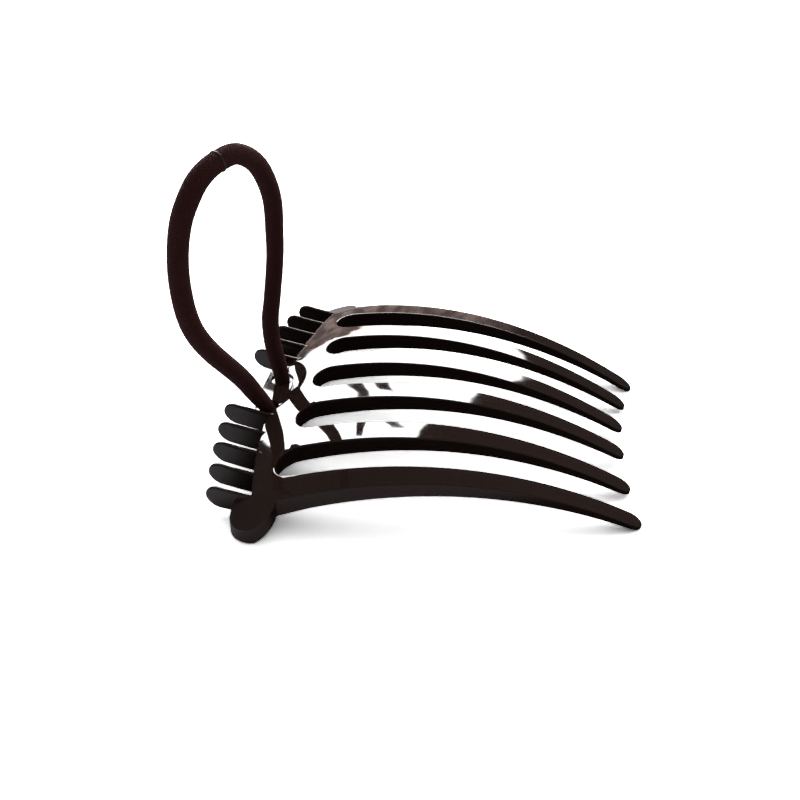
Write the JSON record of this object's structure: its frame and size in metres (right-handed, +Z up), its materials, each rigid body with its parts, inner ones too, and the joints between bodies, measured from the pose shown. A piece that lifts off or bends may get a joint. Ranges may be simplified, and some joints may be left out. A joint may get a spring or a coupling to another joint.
{
  "type": "ponytail comb",
  "caption": "Arched moulded hair comb with tapered teeth, thin fins along its back edge and an elastic loop through two holes.",
  "frame": {"origin": "middle of the comb's own box, at its base, where the comb rests on the surface; the elastic isn't counted", "axes": "+X from the back edge towards the tips of the teeth, +Y along the back edge, +Z up from the surface"},
  "size_m": [0.0875, 0.0794, 0.0594],
  "materials": {
    "dark_brown_plastic": "glossy, slightly translucent",
    "dark_brown_elastic": "fine braided cover",
    "joint_glue": "dull"
  },
  "bodies": {
    "root": {"comb_moulding": "dark_brown_plastic", "elastic_loop": "dark_brown_elastic", "glued_joint": "joint_glue"}
  },
  "joints": []
}
